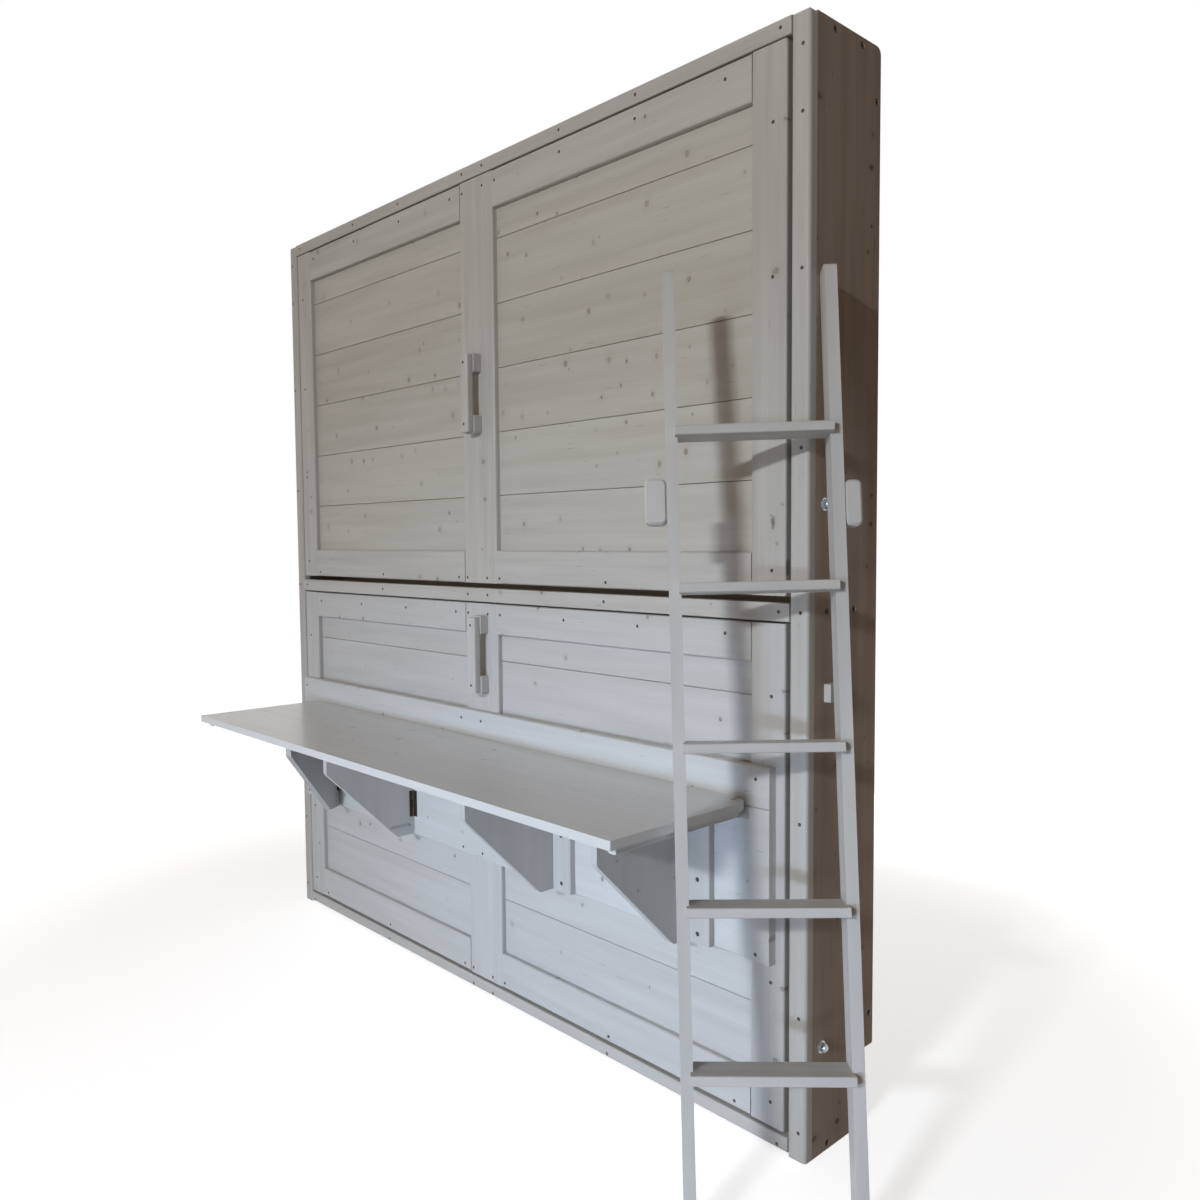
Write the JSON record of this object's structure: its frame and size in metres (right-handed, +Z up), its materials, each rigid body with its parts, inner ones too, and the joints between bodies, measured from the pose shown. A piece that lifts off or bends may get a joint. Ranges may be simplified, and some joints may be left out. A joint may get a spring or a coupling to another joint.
{
  "type": "wall bed with fold down desk",
  "caption": "Shallow wall cabinet holding bunks that fold down one above the other, with a fold-down desk on the lower front and a loose ladder.",
  "frame": {"origin": "on the floor, in the middle of the cabinet's width and depth", "axes": "+X to the right along the wall, +Y into the wall, +Z up"},
  "size_m": [2.3905, 0.675, 2.282],
  "materials": {
    "whitewashed_wood": "whitewashed pine, matt",
    "cabinet_inner_wood": "whitewashed pine, matt",
    "steel": "zinc-plated",
    "lug_steel": "zinc-plated",
    "dark_screw": "black oxide",
    "raw_wood": "bare pine",
    "upper_front_wood": "whitewashed pine, satin",
    "lower_front_wood": "whitewashed pine, satin",
    "frame_wood": "planed pine",
    "mattress_fabric": "woven ticking",
    "webbing": "flat webbing",
    "handle_wood": "whitewashed pine, satin",
    "desk_wood": "whitewashed pine, satin lacquer",
    "brown_hinge": "brown lacquered steel",
    "ladder_wood": "whitewashed pine, satin",
    "pad_rubber": "matt"
  },
  "bodies": {
    "carcass": {"side_board_left": "whitewashed_wood", "side_board_right": "whitewashed_wood", "posts": "whitewashed_wood", "front_rails": "whitewashed_wood", "top_board": "cabinet_inner_wood", "middle_board": "cabinet_inner_wood", "bottom_board": "cabinet_inner_wood", "wall_rail": "cabinet_inner_wood", "stop_pegs": "raw_wood", "pivot_bolts": "steel", "pivot_spacers": "steel", "pivot_nuts": "steel", "carcass_bolts": "steel", "front_screws": "dark_screw", "side_block": "raw_wood"},
    "upper_bed": {"upper_planks": "upper_front_wood", "upper_stiles": "upper_front_wood", "upper_trim_rails": "upper_front_wood", "upper_battens": "frame_wood", "upper_frame_rails": "frame_wood", "upper_frame_ends": "frame_wood", "upper_slats": "frame_wood", "upper_mattress": "mattress_fabric", "upper_straps": "webbing", "upper_handle_bar": "handle_wood", "upper_handle_blocks": "handle_wood", "upper_screws": "dark_screw"},
    "lower_bed": {"lower_planks": "lower_front_wood", "lower_stiles": "lower_front_wood", "lower_trim_rails": "lower_front_wood", "lower_battens": "frame_wood", "lower_frame_rails": "frame_wood", "lower_frame_ends": "frame_wood", "lower_slats": "frame_wood", "lower_mattress": "mattress_fabric", "lower_straps": "webbing", "lower_handle_bar": "handle_wood", "lower_handle_blocks": "handle_wood", "lower_screws": "dark_screw", "desk_back_boards": "desk_wood", "desk_cleats": "desk_wood", "bracket_hinge_leaves": "brown_hinge", "hinge_pins": "steel", "desk_lugs": "lug_steel"},
    "desk_top": {"desktop": "desk_wood", "desk_battens": "desk_wood", "desk_end_plates": "lug_steel"},
    "bracket_1": {"bracket_1": "desk_wood", "bracket_leaves_1": "brown_hinge"},
    "bracket_2": {"bracket_2": "desk_wood", "bracket_leaves_2": "brown_hinge", "bracket_hook": "steel"},
    "bracket_3": {"bracket_3": "desk_wood", "bracket_leaves_3": "brown_hinge"},
    "bracket_4": {"bracket_4": "desk_wood", "bracket_leaves_4": "brown_hinge"},
    "ladder_feet": {"ladder_feet": "pad_rubber"},
    "ladder": {"ladder_rails": "ladder_wood", "ladder_rungs": "ladder_wood", "ladder_grab_blocks": "ladder_wood"}
  },
  "joints": [
    {"name": "upper_bed_hinge", "type": "hinge", "parent": "carcass", "child": "upper_bed", "pos_m": [0, -0.07, 1.34], "axis": [1, 0, 0], "range_deg": [0, 90]},
    {"name": "lower_bed_hinge", "type": "hinge", "parent": "carcass", "child": "lower_bed", "pos_m": [0, -0.07, 0.229], "axis": [1, 0, 0], "range_deg": [0, 90]},
    {"name": "desk_top_hinge", "type": "hinge", "parent": "lower_bed", "child": "desk_top", "pos_m": [0, -0.153, 0.731], "axis": [-1, 0, 0], "range_deg": [0, 76]},
    {"name": "bracket_1_hinge", "type": "hinge", "parent": "lower_bed", "child": "bracket_1", "pos_m": [-0.763, -0.15, 0.556], "axis": [0, 0, 1], "range_deg": [0, 58]},
    {"name": "bracket_2_hinge", "type": "hinge", "parent": "lower_bed", "child": "bracket_2", "pos_m": [-0.316, -0.15, 0.556], "axis": [0, 0, 1], "range_deg": [0, 90]},
    {"name": "bracket_3_hinge", "type": "hinge", "parent": "lower_bed", "child": "bracket_3", "pos_m": [0.316, -0.15, 0.556], "axis": [0, 0, -1], "range_deg": [0, 90]},
    {"name": "bracket_4_hinge", "type": "hinge", "parent": "lower_bed", "child": "bracket_4", "pos_m": [0.763, -0.15, 0.556], "axis": [0, 0, -1], "range_deg": [0, 90]},
    {"name": "ladder_slide", "type": "slide", "parent": "carcass", "child": "ladder_feet", "axis": [1, 0, 0], "range_m": [0, 0.65]},
    {"name": "ladder_tip", "type": "hinge", "parent": "ladder_feet", "child": "ladder", "pos_m": [1.18086, -0.37042, 0.004], "axis": [0.729, 0.6845, 0], "range_deg": [0, 41]}
  ],
  "couplings": [
    {"joint": "desk_top_hinge", "follows": "lower_bed_hinge", "ratio": 0.8333},
    {"joint": "bracket_1_hinge", "follows": "lower_bed_hinge", "ratio": 0.6444},
    {"joint": "bracket_2_hinge", "follows": "lower_bed_hinge", "ratio": 1},
    {"joint": "bracket_3_hinge", "follows": "lower_bed_hinge", "ratio": 1},
    {"joint": "bracket_4_hinge", "follows": "lower_bed_hinge", "ratio": 1},
    {"joint": "ladder_slide", "follows": "lower_bed_hinge", "m_per_rad": 0.413},
    {"joint": "ladder_tip", "follows": "upper_bed_hinge", "ratio": 0.45}
  ]
}
